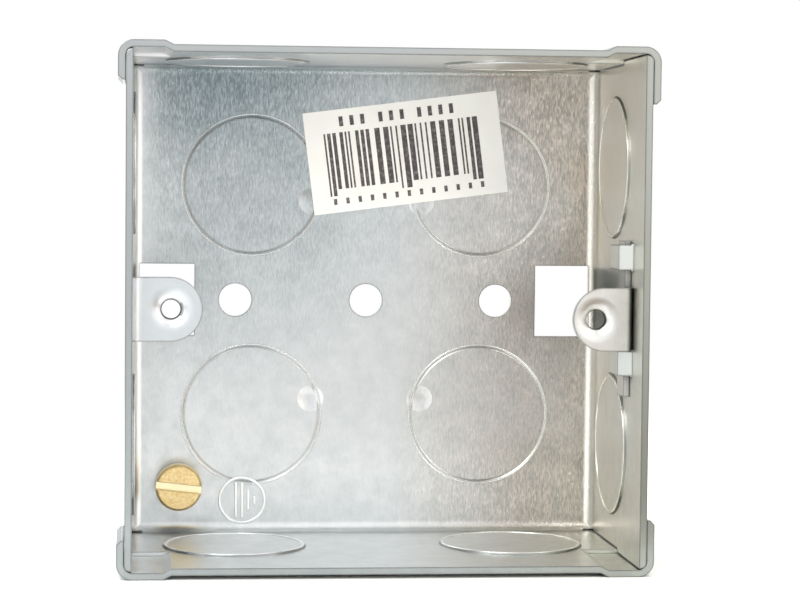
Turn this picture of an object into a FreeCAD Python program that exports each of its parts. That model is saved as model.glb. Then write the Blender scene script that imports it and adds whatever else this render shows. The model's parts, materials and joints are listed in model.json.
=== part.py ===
# Flush back box for one gang, folded from galvanised sheet.
# Frame: +X to the right, +Y from the open front to the back, +Z up. The box stands on its lower corner laps,
# and the origin lies under its middle. Every size is in millimetres.
import FreeCAD, Part
import math
import os
import Sketcher

doc = FreeCAD.newDocument("FlushBackBox")
sheet = doc.addObject("Spreadsheet::Sheet", "Sizes")


class Size:
    """A number together with the spreadsheet formula that gives it."""

    def __init__(self, value, formula):
        self.value = float(value)
        self.formula = formula

    def join(self, other, sign, value):
        return Size(value, f"({self.formula} {sign} {as_size(other).formula})")

    def __add__(self, other):
        return self.join(other, "+", self.value + as_size(other).value)

    def __sub__(self, other):
        return self.join(other, "-", self.value - as_size(other).value)

    def __mul__(self, other):
        return self.join(other, "*", self.value * as_size(other).value)

    def __truediv__(self, other):
        return self.join(other, "/", self.value / as_size(other).value)

    def __neg__(self):
        return Size(-self.value, f"(0 - {self.formula})")


def as_size(number):
    return number if isinstance(number, Size) else Size(number, repr(float(number)))


rows = 0


def size(alias, value, note):
    """Write one driving dimension into the sheet and return it."""
    global rows
    rows += 1
    sheet.set(f"A{rows}", alias)
    sheet.set(f"B{rows}", str(value))
    sheet.set(f"C{rows}", note)
    sheet.setAlias(f"B{rows}", alias)
    return Size(value, f"Sizes.{alias}")


# The folded box
width = size("width", 73.0, "outside of the walls, across and up")
depth = size("depth", 35.0, "rim to the back of the base")
gauge = size("gauge", 1.0, "thickness of the box's sheet")
bend = size("bend", 1.5, "inside radius of the folds round the base")

# Corner laps: the ends of the top and bottom walls step outwards and wrap round the side walls
lap_reach = size("lap_reach", 6.5, "from a side wall's outer face to the start of the step")
lap_step = size("lap_step", 0.6, "how far the step goes outwards")
lap_ramp = size("lap_ramp", 1.2, "length of the step's slope")
lap_depth = size("lap_depth", 14.5, "how far the laps go back from the rim")
lap_corner = size("lap_corner", 2.2, "outer radius of the wrapped corner")
lap_gap = size("lap_gap", 0.1, "between a side wall and the lap outside it")
lap_left = size("lap_left", 5.5, "length of the left laps down the side wall")
lap_right = size("lap_right", 8.0, "length of the right laps down the side wall")
lap_chamfer = size("lap_chamfer", 0.6, "slope at the end of a lap")
wall_end_round = size("wall_end_round", 0.9, "rounded outer edge at a side wall's end")
seam = size("seam", 0.2, "open seam between a side wall's end and its neighbour")

# Base holes
fixing_hole = size("fixing_hole", 5.0, "diameter of the three fixing holes")
fixing_pitch = size("fixing_pitch", 20.0, "between fixing holes")
window_inset = size("window_inset", 1.95, "a side wall's outer face to its window's outer edge")
window_width = size("window_width", 8.35, "window, across")
window_height = size("window_height", 10.9, "window, up")

# Knockouts
knockout = size("knockout", 20.7, "diameter of a knockout disc")
knockout_inset = size("knockout_inset", 19.0, "a wall's outer face to the middle of a base knockout")
wall_knockout_inset = size("wall_knockout_inset", 16.0, "end of a wall to the middle of a wall knockout")
wall_knockout_depth = size("wall_knockout_depth", 20.2, "rim to the middle of a wall knockout")
wall_knockout_raise = size("wall_knockout_raise", 0.25, "how far a wall disc stands inwards")
wall_groove = size("wall_groove", 0.2, "width and depth of the sheared line round a wall disc")
base_knockout_recess = size("base_knockout_recess", 0.1, "how far a base disc lies below the back face")
groove = size("groove", 0.4, "width of the sheared line round a base disc")
groove_depth = size("groove_depth", 0.18, "depth of that line")
tie_across = size("tie_across", 9.1, "disc centre to its pressed tie, across")
tie_towards = size("tie_towards", 2.4, "disc centre to its pressed tie, towards the middle")
tie_width = size("tie_width", 4.0, "diameter of the shallow dent pressed at a tie")
tie_dent = size("tie_dent", 0.25, "depth of that dent")

# Both lugs
thread_inset = size("thread_inset", 6.35, "a side wall's outer face to a cover-screw thread")
lug_setback = size("lug_setback", 5.5, "rim to the front face of a lug")
lug_width = size("lug_width", 9.0, "width of a lug")
thread_bore = size("thread_bore", 2.9, "minor diameter of the M3.5 threads")
collar_outside = size("collar_outside", 4.7, "outside of the drawn collar behind a lug")
collar_height = size("collar_height", 1.3, "height of that collar")
mouth_width = size("mouth_width", 1.8, "width of the rounded mouth round the thread")
mouth_depth = size("mouth_depth", 0.7, "depth of that mouth")

# Fixed lug, lanced from the left wall
fixed_tip = size("fixed_tip", 4.4, "thread to the tip of the fixed lug")
fixed_bend = size("fixed_bend", 1.5, "inside radius of its bend")
fixed_slit = size("fixed_slit", 0.3, "sheared gap beside and behind the fixed lug")
fold_neutral = size("fold_neutral", 0.4, "depth of the layer that keeps its length in a fold, per gauge")

# Adjustable lug and the straps that hold it on the right wall
slider_gauge = size("slider_gauge", 0.9, "thickness of the adjustable lug")
slider_bend = size("slider_bend", 0.4, "inside radius of its bend")
slider_tip = size("slider_tip", 3.4, "thread to the tip of the adjustable lug")
slider_length = size("slider_length", 22.3, "length of its plate, up")
slider_clearance = size("slider_clearance", 0.05, "running clearance round the plate")
strap_spacing = size("strap_spacing", 11.6, "open distance between the two straps")
strap_width = size("strap_width", 3.5, "width of a strap")
strap_front = size("strap_front", 6.4, "rim to the front root of a strap")
strap_length = size("strap_length", 7.4, "front root to back root of a strap")
strap_ramp = size("strap_ramp", 0.8, "length of a strap's slope at each root")
strap_root = size("strap_root", 0.6, "thickness of a strap's slope, measured towards the base")
strap_slit = size("strap_slit", 0.15, "sheared gap beside a strap")
slider_room = size("slider_room", 0.1, "room between the plate and the straps' slopes")

# Earth terminal
earth_from_side = size("earth_from_side", 8.0, "left wall's outer face to the earth screw")
earth_from_bottom = size("earth_from_bottom", 8.2, "lower wall's outer face to the earth screw")
earth_bore = size("earth_bore", 4.0, "diameter of the M4 thread")
earth_play = size("earth_play", 0.05, "clearance round the screw's shank")
earth_collar = size("earth_collar", 6.6, "outside of the collar drawn up for the screw")
earth_collar_height = size("earth_collar_height", 1.5, "height of that collar over the base")
earth_head = size("earth_head", 7.0, "diameter of the screw's head")
earth_head_height = size("earth_head_height", 2.6, "height of the head")
earth_head_slope = size("earth_head_slope", 0.35, "sloped edge of the head")
earth_slot_width = size("earth_slot_width", 1.2, "width of the slot")
earth_slot_depth = size("earth_slot_depth", 1.1, "depth of the slot")
earth_slot_turn = size("earth_slot_turn", 6.5, "how far the slot leans, in degrees")

# Paper label
label_width = size("label_width", 30.0, "label, across")
label_height = size("label_height", 15.6, "label, up")
label_paper = size("label_paper", 0.1, "thickness of the paper")
label_across = size("label_across", 5.9, "box middle to the label's middle, across")
label_from_top = size("label_from_top", 13.9, "upper wall's outer face to the label's middle")
label_turn = size("label_turn", 7.4, "how far the label leans, in degrees")

doc.recompute()

# Places that several pieces share
half = width / 2                            # middle plane to a wall's outer face
inside = half - gauge                       # middle plane to a wall's inner face
rim = -(depth / 2)                          # Y of the open front
back = depth / 2                            # Y of the base's back face
floor = back - gauge                        # Y of the base's inner face
middle = half + lap_step                    # Z of the box's middle
lug_face = rim + lug_setback                # Y of both lugs' front faces
thread_x = half - thread_inset              # X of the two threads, left and right
earth_across = half - earth_from_side       # middle to the earth screw, leftwards
earth_up = middle - half + earth_from_bottom
slider_rest = (strap_spacing - lug_width) / 2 - slider_clearance
slider_z = middle - slider_rest             # Z of the adjustable lug, resting on the lower strap


def in_order(one, other):
    """The same two sizes, the smaller one first."""
    return (one, other) if one.value < other.value else (other, one)


class Plane:
    """One of a body's origin planes: how world directions lie in a sketch on it."""

    def __init__(self, role, normal, across, up):
        self.role = role                    # name of the origin plane
        self.normal = normal                # +1 or -1: world direction of the sketch's normal
        self.across = across                # world axis of the sketch's first direction
        self.up = up                        # world axis of the sketch's second direction


LEVEL = Plane("XY_Plane", 1, "x", "y")      # looking down, Z is the sketch's height
FRONT = Plane("XZ_Plane", -1, "x", "z")     # looking in from the front, its normal is -Y
SIDE = Plane("YZ_Plane", 1, "y", "z")       # looking from the right, its normal is +X


def new_body(name):
    body = doc.addObject("PartDesign::Body", name)
    body.Label = name
    return body


def new_sketch(body, name, plane, height, across=0, up=0):
    """A sketch on an origin plane of the body, moved along the plane's axis to height, and within the plane."""
    sketch = body.newObject("Sketcher::SketchObject", name)
    origin = [f for f in body.Origin.OriginFeatures if f.Role == plane.role][0]
    sketch.AttachmentSupport = [(origin, "")]
    sketch.MapMode = "FlatFace"
    sketch.setExpression("AttachmentOffset.Base.x", as_size(across).formula)
    sketch.setExpression("AttachmentOffset.Base.y", as_size(up).formula)
    sketch.setExpression("AttachmentOffset.Base.z", (as_size(height) * plane.normal).formula)
    return sketch


def pin_point(sketch, index, end, point):
    """Hold one end of a sketch element at a point whose two sizes come from the sheet."""
    for kind, place in (("DistanceX", point[0]), ("DistanceY", point[1])):
        place = as_size(place)
        row = sketch.addConstraint(Sketcher.Constraint(kind, -1, 1, index, end, place.value))
        sketch.setExpression(f"Constraints[{row}]", place.formula)


def arc_between(start, end, radius, turn):
    """The arc from start to end that curves left (turn 1) or right (turn -1), and whether it was reversed."""
    x0, y0, x1, y1 = start[0].value, start[1].value, end[0].value, end[1].value
    chord = math.hypot(x1 - x0, y1 - y0)
    rise = math.sqrt(max(radius.value ** 2 - chord ** 2 / 4, 0.0))
    cx = (x0 + x1) / 2 - turn * rise * (y1 - y0) / chord
    cy = (y0 + y1) / 2 + turn * rise * (x1 - x0) / chord
    if turn < 0:
        x0, y0, x1, y1 = x1, y1, x0, y0
    circle = Part.Circle(FreeCAD.Vector(cx, cy, 0), FreeCAD.Vector(0, 0, 1), radius.value)
    first = math.atan2(y0 - cy, x0 - cx)
    last = math.atan2(y1 - cy, x1 - cx)
    if last < first:
        last += 2 * math.pi
    return Part.ArcOfCircle(circle, first, last)


def draw_loop(sketch, points, arcs=()):
    """Draw a closed outline. arcs maps a point's number to (radius, turn) for the arc that leaves it."""
    arcs = dict(arcs)
    points = [(as_size(x), as_size(y)) for x, y in points]
    first = sketch.GeometryCount
    for number, start in enumerate(points):
        end = points[(number + 1) % len(points)]
        if number in arcs:
            sketch.addGeometry(arc_between(start, end, as_size(arcs[number][0]), arcs[number][1]), False)
        else:
            ends = [FreeCAD.Vector(x.value, y.value, 0) for x, y in (start, end)]
            sketch.addGeometry(Part.LineSegment(*ends), False)
    for number, start in enumerate(points):
        reverse = number in arcs and arcs[number][1] < 0
        following = (number + 1) % len(points)
        reverse_next = following in arcs and arcs[following][1] < 0
        sketch.addConstraint(Sketcher.Constraint("Coincident", first + number, 1 if reverse else 2,
                                                 first + following, 2 if reverse_next else 1))
        pin_point(sketch, first + number, 2 if reverse else 1, start)
        if number in arcs:
            radius = as_size(arcs[number][0])
            row = sketch.addConstraint(Sketcher.Constraint("Radius", first + number, radius.value))
            sketch.setExpression(f"Constraints[{row}]", radius.formula)


def draw_box(sketch, left, right, low, high):
    draw_loop(sketch, [(left, low), (right, low), (right, high), (left, high)])


def draw_circle(sketch, across, up, diameter):
    across, up, diameter = as_size(across), as_size(up), as_size(diameter)
    centre = FreeCAD.Vector(across.value, up.value, 0)
    index = sketch.addGeometry(Part.Circle(centre, FreeCAD.Vector(0, 0, 1), diameter.value / 2), False)
    pin_point(sketch, index, 3, (across, up))
    row = sketch.addConstraint(Sketcher.Constraint("Diameter", index, diameter.value))
    sketch.setExpression(f"Constraints[{row}]", diameter.formula)


def solid_between(body, kind, name, plane, low, high, draw):
    """A Pad or a Pocket that fills the world range low to high along the plane's axis."""
    low, high = as_size(low), as_size(high)
    grows_up = (kind == "Pad") == (plane.normal > 0)
    sketch = new_sketch(body, name + "Sketch", plane, low if grows_up else high)
    draw(sketch)
    before = body.Shape.Volume if body.Tip else 0.0
    feature = body.newObject("PartDesign::" + kind, name)
    feature.Profile = sketch
    feature.setExpression("Length", (high - low).formula)
    doc.recompute()
    change = feature.Shape.Volume - before
    if not feature.isValid() or (change > 0) != (kind == "Pad") or abs(change) < 1e-6:
        raise RuntimeError(f"{name} did not change the solid as it should")
    return feature


def pad(body, name, plane, low, high, draw):
    return solid_between(body, "Pad", name, plane, low, high, draw)


def pocket(body, name, plane, low, high, draw):
    return solid_between(body, "Pocket", name, plane, low, high, draw)


def turn_sketch(body, kind, name, sketch, axis="V_Axis"):
    """A Revolution or a Groove of a sketch about one of its own two axes."""
    before = body.Shape.Volume if body.Tip else 0.0
    feature = body.newObject("PartDesign::" + kind, name)
    feature.Profile = sketch
    feature.ReferenceAxis = (sketch, [axis])
    feature.Angle = 360
    doc.recompute()
    change = feature.Shape.Volume - before
    if not feature.isValid() or (change > 0) != (kind == "Revolution") or abs(change) < 1e-6:
        raise RuntimeError(f"{name} did not change the solid as it should")


def turned_round(body, kind, name, across, up, points, arcs=()):
    """The same about the line along Y through (across, up). points are (radius, Y) pairs."""
    sketch = new_sketch(body, name + "Sketch", LEVEL, up, across)
    draw_loop(sketch, points, arcs)
    turn_sketch(body, kind, name, sketch)


def round_edges(body, name, radius, chosen):
    """A Fillet on the edges of the body's tip that the test chosen picks."""
    tip = body.Tip
    names = [f"Edge{n}" for n, edge in enumerate(tip.Shape.Edges, 1) if not edge.Degenerated and chosen(edge)]
    if not names:
        raise RuntimeError(f"{name} found no edge")
    feature = body.newObject("PartDesign::Fillet", name)
    feature.Base = (tip, names)
    feature.setExpression("Radius", radius.formula)
    doc.recompute()
    if not feature.isValid():
        raise RuntimeError(f"{name} failed")
    return feature


def place(body, across, into, up, turn):
    """Put a body that was built at the origin on the base, turned about +Y by a number of degrees."""
    turned = FreeCAD.Rotation(FreeCAD.Vector(0, 1, 0), turn.value)
    body.Placement = FreeCAD.Placement(FreeCAD.Vector(), turned)
    body.setExpression("Placement.Base.x", across.formula)
    body.setExpression("Placement.Base.y", into.formula)
    body.setExpression("Placement.Base.z", up.formula)
    body.setExpression("Placement.Rotation.Angle", turn.formula)


def mirrored(points, arcs, across, up, level):
    """An outline drawn for the upper right corner, moved to another corner and raised to the box's middle."""
    moved = [(as_size(x) * across, as_size(y) * up + level) for x, y in points]
    return moved, {number: (radius, turn * across * up) for number, (radius, turn) in arcs.items()}


CORNERS = [(-1, -1), (-1, 1), (1, -1), (1, 1)]     # left or right, lower or upper


def draw_tongue(sketch, root, tip, centre_z, way):
    """A lug seen from the front: straight sides and a round tip that points along X, way +1 or -1."""
    radius = lug_width / 2
    shoulder = tip - radius * way
    points = [(root, centre_z - radius), (shoulder, centre_z - radius), (tip, centre_z),
              (shoulder, centre_z + radius), (root, centre_z + radius)]
    draw_loop(sketch, points, {1: (radius, way), 2: (radius, way)})


def draw_thread(body, name, thread_at, centre_z, sheet_gauge):
    """The drawn and tapped hole of a lug: a collar behind the sheet and a rounded mouth in front."""
    face = lug_face + sheet_gauge
    end = face + collar_height
    pad(body, name + "Collar", FRONT, face, end,
        lambda s: draw_circle(s, thread_at, centre_z, collar_outside))
    pocket(body, name + "Bore", FRONT, lug_face, end,
           lambda s: draw_circle(s, thread_at, centre_z, thread_bore))

    bore = thread_bore / 2
    curve = (mouth_width * mouth_width + mouth_depth * mouth_depth) / (mouth_depth * 2)
    points = [(bore / 2, lug_face), (bore + mouth_width, lug_face), (bore, lug_face + mouth_depth),
              (bore / 2, lug_face + mouth_depth)]
    turned_round(body, "Groove", name + "Mouth", thread_at, centre_z, points, {1: (curve, -1)})


def on_level(edge, level):
    return all(abs(vertex.Point.y - level.value) < 1e-4 for vertex in edge.Vertexes)


def build_tray(body):
    """A square tray with rounded folds round the base."""
    low, high = middle - half, middle + half
    pad(body, "Tray", FRONT, rim, back, lambda s: draw_box(s, -half, half, low, high))
    round_edges(body, "OuterFolds", bend + gauge, lambda edge: on_level(edge, back))
    low, high = middle - inside, middle + inside
    pocket(body, "Cavity", FRONT, rim, floor, lambda s: draw_box(s, -inside, inside, low, high))
    round_edges(body, "InnerFolds", bend, lambda edge: on_level(edge, floor))


def build_corner_laps(body):
    """The step near each end of the top and bottom walls, and the lap that wraps round the side wall."""
    end = rim + lap_depth
    stop = inside - lap_corner              # below this height the side wall is left as it is

    def draw_clearing(sketch):
        for across, up in CORNERS:
            points = [(half - lap_reach, stop), (half + gauge, stop),
                      (half + gauge, half + gauge), (half - lap_reach, half + gauge)]
            draw_loop(sketch, *mirrored(points, {}, across, up, middle))

    pocket(body, "CornerClearing", FRONT, rim, end + seam, draw_clearing)

    def draw_wall_ends(sketch):
        top = inside + lap_step - seam
        root = stop - gauge
        points = [(inside, root), (half, root), (half, top - wall_end_round),
                  (half - wall_end_round, top), (inside, top)]
        for across, up in CORNERS:
            draw_loop(sketch, *mirrored(points, {2: (wall_end_round, 1)}, across, up, middle))

    pad(body, "SideWallEnds", FRONT, rim, end + seam, draw_wall_ends)

    def draw_laps(sketch):
        start = half - lap_reach
        outside = half + lap_gap + gauge
        top = half + lap_step
        for across, up in CORNERS:
            lap_end = top - (lap_right if across > 0 else lap_left)
            points = [(start - gauge, inside), (start - gauge, half), (start, half),
                      (start + lap_ramp, top), (outside - lap_corner, top), (outside, top - lap_corner),
                      (outside, lap_end + lap_chamfer), (outside - lap_chamfer, lap_end),
                      (outside - gauge, lap_end),
                      (outside - gauge, top - lap_corner), (outside - lap_corner, top - gauge),
                      (start + lap_ramp, top - gauge), (start, inside)]
            arcs = {4: (lap_corner, -1), 9: (lap_corner - gauge, 1)}
            draw_loop(sketch, *mirrored(points, arcs, across, up, middle))

    pad(body, "CornerLaps", FRONT, rim, end, draw_laps)

    def draw_seams(sketch):
        for across, up in CORNERS:
            points = [(inside - bend, inside - seam), (half + gauge, inside - seam),
                      (half + gauge, inside), (inside - bend, inside)]
            draw_loop(sketch, *mirrored(points, {}, across, up, middle))

    pocket(body, "CornerSeams", FRONT, end + seam, floor, draw_seams)


def build_base_holes(body):
    def draw_fixing_holes(sketch):
        for step in (-1, 0, 1):
            draw_circle(sketch, fixing_pitch * step, middle, fixing_hole)

    def draw_windows(sketch):
        outer = half - window_inset
        for way in (-1, 1):
            ends = in_order((outer - window_width) * way, outer * way)
            draw_box(sketch, *ends, middle - window_height / 2, middle + window_height / 2)

    pocket(body, "FixingHoles", FRONT, floor, back, draw_fixing_holes)
    pocket(body, "BaseWindows", FRONT, floor - bend, back, draw_windows)


def shear_base_knockouts(cuts, dents):
    """The four discs in the base: a sheared line inside, a shallow recess behind, a dent at each tie."""
    apart = half - knockout_inset
    radius = knockout / 2
    ball = (tie_width * tie_width / 4 + tie_dent * tie_dent) / (tie_dent * 2)
    line = [(radius - groove / 2, floor), (radius, floor + groove_depth), (radius + groove / 2, floor)]

    def draw_discs(sketch):
        for across, up in CORNERS:
            draw_circle(sketch, apart * across, middle + apart * up, knockout)

    pad(cuts, "BaseRecesses", FRONT, back - base_knockout_recess, back, draw_discs)
    for number, (across, up) in enumerate(CORNERS, 1):
        turned_round(cuts, "Revolution", f"BaseLine{number}", apart * across, middle + apart * up, line)
        dent = dents.newObject("PartDesign::AdditiveSphere", f"TieDent{number}")
        dent.setExpression("Radius", ball.formula)
        dent.setExpression("Placement.Base.x", ((apart - tie_across) * across).formula)
        dent.setExpression("Placement.Base.y", (floor + tie_dent - ball).formula)
        dent.setExpression("Placement.Base.z", (middle + (apart - tie_towards) * up).formula)
        doc.recompute()


def shear_wall_knockouts(discs, cuts, name, plane, way, level):
    """Two discs of one wall, pressed a little inwards. way is the side of the box that the wall is on."""
    apart = half - wall_knockout_inset
    disc_y = rim + wall_knockout_depth
    if plane is SIDE:
        centres = [(disc_y, middle + apart * step) for step in (-1, 1)]
    else:
        centres = [(apart * step, disc_y) for step in (-1, 1)]

    def between(first, last):
        return in_order(level + first * way, level + last * way)

    def draw_discs(sketch):
        for across, up in centres:
            draw_circle(sketch, across, up, knockout)

    pad(discs, name + "Discs", plane, *between(inside - wall_knockout_raise, inside), draw_discs)
    pad(cuts, name + "Recesses", plane, *between(half - wall_knockout_raise, half), draw_discs)

    radius = knockout / 2
    line = [(radius, inside), (radius, inside + wall_groove), (radius + wall_groove, inside)]
    for number, (across, up) in enumerate(centres, 1):
        if plane is SIDE:
            sketch = new_sketch(cuts, f"{name}Line{number}Sketch", LEVEL, up, 0, across)
            draw_loop(sketch, [(level + into * way, out) for out, into in line])
            turn_sketch(cuts, "Revolution", f"{name}Line{number}", sketch, "H_Axis")
        else:
            sketch = new_sketch(cuts, f"{name}Line{number}Sketch", FRONT, up, across)
            draw_loop(sketch, [(out, level + into * way) for out, into in line])
            turn_sketch(cuts, "Revolution", f"{name}Line{number}", sketch)


def build_fixed_lug(body):
    """The lug that is cut free in the left wall and folded inwards at its front."""
    fold_y = lug_face - fixed_bend
    fold_x = fixed_bend - inside
    tip = fixed_tip - thread_x
    arc_length = (fixed_bend + gauge * fold_neutral) * (math.pi / 2)
    flat = tip - fold_x
    radius = lug_width / 2

    def draw_opening(sketch):
        edge = radius + fixed_slit
        shoulder = fold_y + arc_length + flat - radius
        points = [(fold_y, middle - edge), (shoulder, middle - edge), (shoulder + edge, middle),
                  (shoulder, middle + edge), (fold_y, middle + edge)]
        draw_loop(sketch, points, {1: (edge, 1), 2: (edge, 1)})

    def draw_fold(sketch):
        points = [(-half, fold_y), (fold_x, lug_face + gauge), (fold_x, lug_face), (-inside, fold_y)]
        draw_loop(sketch, points, {0: (fixed_bend + gauge, -1), 2: (fixed_bend, 1)})

    pocket(body, "FixedLugOpening", SIDE, -half, -inside, draw_opening)
    pad(body, "FixedLugFold", LEVEL, middle - radius, middle + radius, draw_fold)
    pad(body, "FixedLugTongue", FRONT, lug_face, lug_face + gauge,
        lambda s: draw_tongue(s, fold_x, tip, middle, 1))
    draw_thread(body, "FixedLug", -thread_x, middle, gauge)


def build_straps(body):
    """Two straps cut free in the right wall and pressed inwards over the adjustable lug's plate."""
    front = rim + strap_front
    end = front + strap_length
    rise = gauge + slider_gauge + slider_clearance * 2
    near = strap_spacing / 2
    far = near + strap_width

    def draw_openings(sketch):
        for up in (-1, 1):
            ends = in_order(middle + (near - strap_slit) * up, middle + (far + strap_slit) * up)
            draw_box(sketch, front, end, *ends)

    def draw_strap(sketch):
        draw_loop(sketch, [(inside, front), (inside - rise, front + strap_ramp),
                           (inside - rise, end - strap_ramp), (inside, end),
                           (half, end), (half, end - strap_root),
                           (half - rise, end - strap_ramp - strap_root),
                           (half - rise, front + strap_ramp + strap_root),
                           (half, front + strap_root), (half, front)])

    pocket(body, "StrapOpenings", SIDE, inside, half, draw_openings)
    pad(body, "LowerStrap", LEVEL, middle - far, middle - near, draw_strap)
    pad(body, "UpperStrap", LEVEL, middle + near, middle + far, draw_strap)


def build_earth_collar(body):
    across, up = -earth_across, earth_up
    top = floor - earth_collar_height
    pad(body, "EarthCollar", FRONT, top, floor, lambda s: draw_circle(s, across, up, earth_collar))
    pocket(body, "EarthBore", FRONT, top, back, lambda s: draw_circle(s, across, up, earth_bore))


def combined(kind, name, base, tool):
    """A Part::Fuse or Part::Cut of two objects."""
    result = doc.addObject("Part::" + kind, name)
    result.Label = name
    result.Base = base
    result.Tool = tool
    return result


def build_box():
    """The folded sheet first, then its knockouts: discs that stand inwards, and what is cut away."""
    folded = new_body("folded_sheet")
    build_tray(folded)
    build_corner_laps(folded)
    build_base_holes(folded)
    build_fixed_lug(folded)
    build_straps(folded)
    build_earth_collar(folded)

    discs = new_body("raised_discs")
    cuts = new_body("knockout_cuts")
    dents = new_body("tie_dents")
    shear_base_knockouts(cuts, dents)
    shear_wall_knockouts(discs, cuts, "LeftWall", SIDE, -1, as_size(0))
    shear_wall_knockouts(discs, cuts, "RightWall", SIDE, 1, as_size(0))
    shear_wall_knockouts(discs, cuts, "LowerWall", LEVEL, -1, middle)
    shear_wall_knockouts(discs, cuts, "UpperWall", LEVEL, 1, middle)

    with_discs = combined("Fuse", "sheet_with_discs", folded, discs)
    sheared = combined("Cut", "sheared_sheet", with_discs, cuts)
    box = combined("Cut", "box_body", sheared, dents)
    box.Refine = True
    doc.recompute()
    return box


def build_adjustable_lug():
    """A plate under the straps with a tongue folded from its front edge."""
    body = new_body("adjustable_lug")
    outer = inside - slider_clearance
    inner = outer - slider_gauge
    fold_x = inner - slider_bend
    fold_y = lug_face + slider_gauge + slider_bend
    slope = strap_ramp + strap_root + slider_room
    plate_front = rim + strap_front + slope
    plate_end = rim + strap_front + strap_length - slope
    radius = lug_width / 2

    def draw_fold(sketch):
        points = [(fold_x, lug_face), (outer, fold_y), (outer, plate_end), (inner, plate_end),
                  (inner, fold_y), (fold_x, lug_face + slider_gauge)]
        draw_loop(sketch, points, {0: (slider_bend + slider_gauge, 1), 4: (slider_bend, -1)})

    def draw_plate(sketch):
        draw_box(sketch, plate_front, plate_end, slider_z - slider_length / 2, slider_z + slider_length / 2)

    pad(body, "LugFold", LEVEL, slider_z - radius, slider_z + radius, draw_fold)
    pad(body, "LugPlate", SIDE, inner, outer, draw_plate)
    pad(body, "LugTongue", FRONT, lug_face, lug_face + slider_gauge,
        lambda s: draw_tongue(s, fold_x, thread_x - slider_tip, slider_z, -1))
    draw_thread(body, "Lug", thread_x, slider_z, slider_gauge)
    return body


def build_earth_screw():
    """Turned about its own axis with the head's seat at the origin, then placed on its collar."""
    body = new_body("earth_screw")
    shank = earth_bore / 2 - earth_play
    head = earth_head / 2
    tip = gauge + earth_collar_height
    points = [(0, -earth_head_height), (head - earth_head_slope, -earth_head_height),
              (head, earth_head_slope - earth_head_height), (head, 0), (shank, 0), (shank, tip), (0, tip)]
    turned_round(body, "Revolution", "ScrewTurned", 0, 0, points)
    pocket(body, "ScrewSlot", FRONT, -earth_head_height, earth_slot_depth - earth_head_height,
           lambda s: draw_box(s, -head, head, -(earth_slot_width / 2), earth_slot_width / 2))
    place(body, -earth_across, floor - earth_collar_height, earth_up, earth_slot_turn)
    return body


def build_paper_label():
    body = new_body("paper_label")
    pad(body, "Paper", FRONT, -label_paper, 0,
        lambda s: draw_box(s, -(label_width / 2), label_width / 2, -(label_height / 2), label_height / 2))
    place(body, label_across, floor, middle + half - label_from_top, -label_turn)
    return body


pieces = [build_box(), build_adjustable_lug(), build_earth_screw(), build_paper_label()]
doc.recompute()

for item in doc.Objects:
    if "Invalid" in item.State or "Error" in item.State:
        raise RuntimeError(f"{item.Label} failed: {item.State}")

os.makedirs("parts", exist_ok=True)
for piece in pieces:
    shape = piece.Shape
    if shape.isNull() or not shape.isValid() or len(shape.Solids) != 1:
        raise RuntimeError(f"{piece.Label} is not one valid solid")

for piece in pieces:
    piece.Shape.exportStep(f"parts/{piece.Label}.step")
    box = piece.Shape.BoundBox
    print(f"{piece.Label}: {piece.Shape.Volume:.1f} mm3, X {box.XMin:.2f} {box.XMax:.2f}, "
          f"Y {box.YMin:.2f} {box.YMax:.2f}, Z {box.ZMin:.2f} {box.ZMax:.2f}")
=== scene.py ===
# Looks of a flush back box: galvanised sheet, a plated slider, a brass earth screw and a paper label.
import bmesh
import bpy
import json
import math
import numpy as np
from mathutils import Matrix, Vector


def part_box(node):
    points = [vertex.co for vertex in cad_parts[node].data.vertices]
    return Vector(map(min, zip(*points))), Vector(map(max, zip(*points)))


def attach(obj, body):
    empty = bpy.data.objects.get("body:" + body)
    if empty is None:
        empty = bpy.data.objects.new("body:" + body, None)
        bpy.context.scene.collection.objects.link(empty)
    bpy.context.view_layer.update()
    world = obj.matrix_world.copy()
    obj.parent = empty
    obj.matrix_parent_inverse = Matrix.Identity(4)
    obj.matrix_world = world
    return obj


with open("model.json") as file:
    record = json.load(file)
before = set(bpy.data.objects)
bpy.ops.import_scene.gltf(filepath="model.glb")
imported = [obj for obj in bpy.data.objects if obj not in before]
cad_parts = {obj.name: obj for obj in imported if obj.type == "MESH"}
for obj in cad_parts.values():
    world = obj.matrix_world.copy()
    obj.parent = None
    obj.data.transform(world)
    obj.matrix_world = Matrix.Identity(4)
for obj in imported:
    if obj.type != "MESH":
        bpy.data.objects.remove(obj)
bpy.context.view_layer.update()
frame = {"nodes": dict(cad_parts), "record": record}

mm = 0.001
boxLow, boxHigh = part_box("box_body")
labelLow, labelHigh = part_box("paper_label")
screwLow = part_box("earth_screw")[0]
middleZ = (boxLow.z + boxHigh.z) / 2
rimY = boxLow.y
floorY = labelHigh.y                # inner face of the base, which the label lies on
mounts = {mount["name"]: mount for mount in frame["record"]["mounts"]}
print("frame is loaded")


# sRGB hex to the linear colour that a shader wants: low values divided by 12.92, the rest by the power curve
def linear(hexColour):
    values = [int(hexColour[k:k + 2], 16) / 255 for k in (0, 2, 4)]
    return [v / 12.92 if v <= 0.04045 else ((v + 0.055) / 1.055) ** 2.4 for v in values] + [1.0]


# one shader node: its properties and input values, and the sockets that feed its inputs, by name or index
def addNode(tree, kind, values=None, links=None):
    node = tree.nodes.new("ShaderNode" + kind)
    for name, value in (values or {}).items():
        if isinstance(name, str) and hasattr(node, name):
            setattr(node, name, value)
        else:
            node.inputs[name].default_value = value
    for name, source in (links or {}).items():
        tree.links.new(source, node.inputs[name])
    return node


# an empty material with its tree, its main shader and its object coordinates
def newMaterial(name):
    material = bpy.data.materials.new(name)
    material.use_nodes = True
    tree = material.node_tree
    shader = tree.nodes["Principled BSDF"]
    place = addNode(tree, "TexCoord").outputs["Object"]
    return material, tree, shader, place


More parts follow.
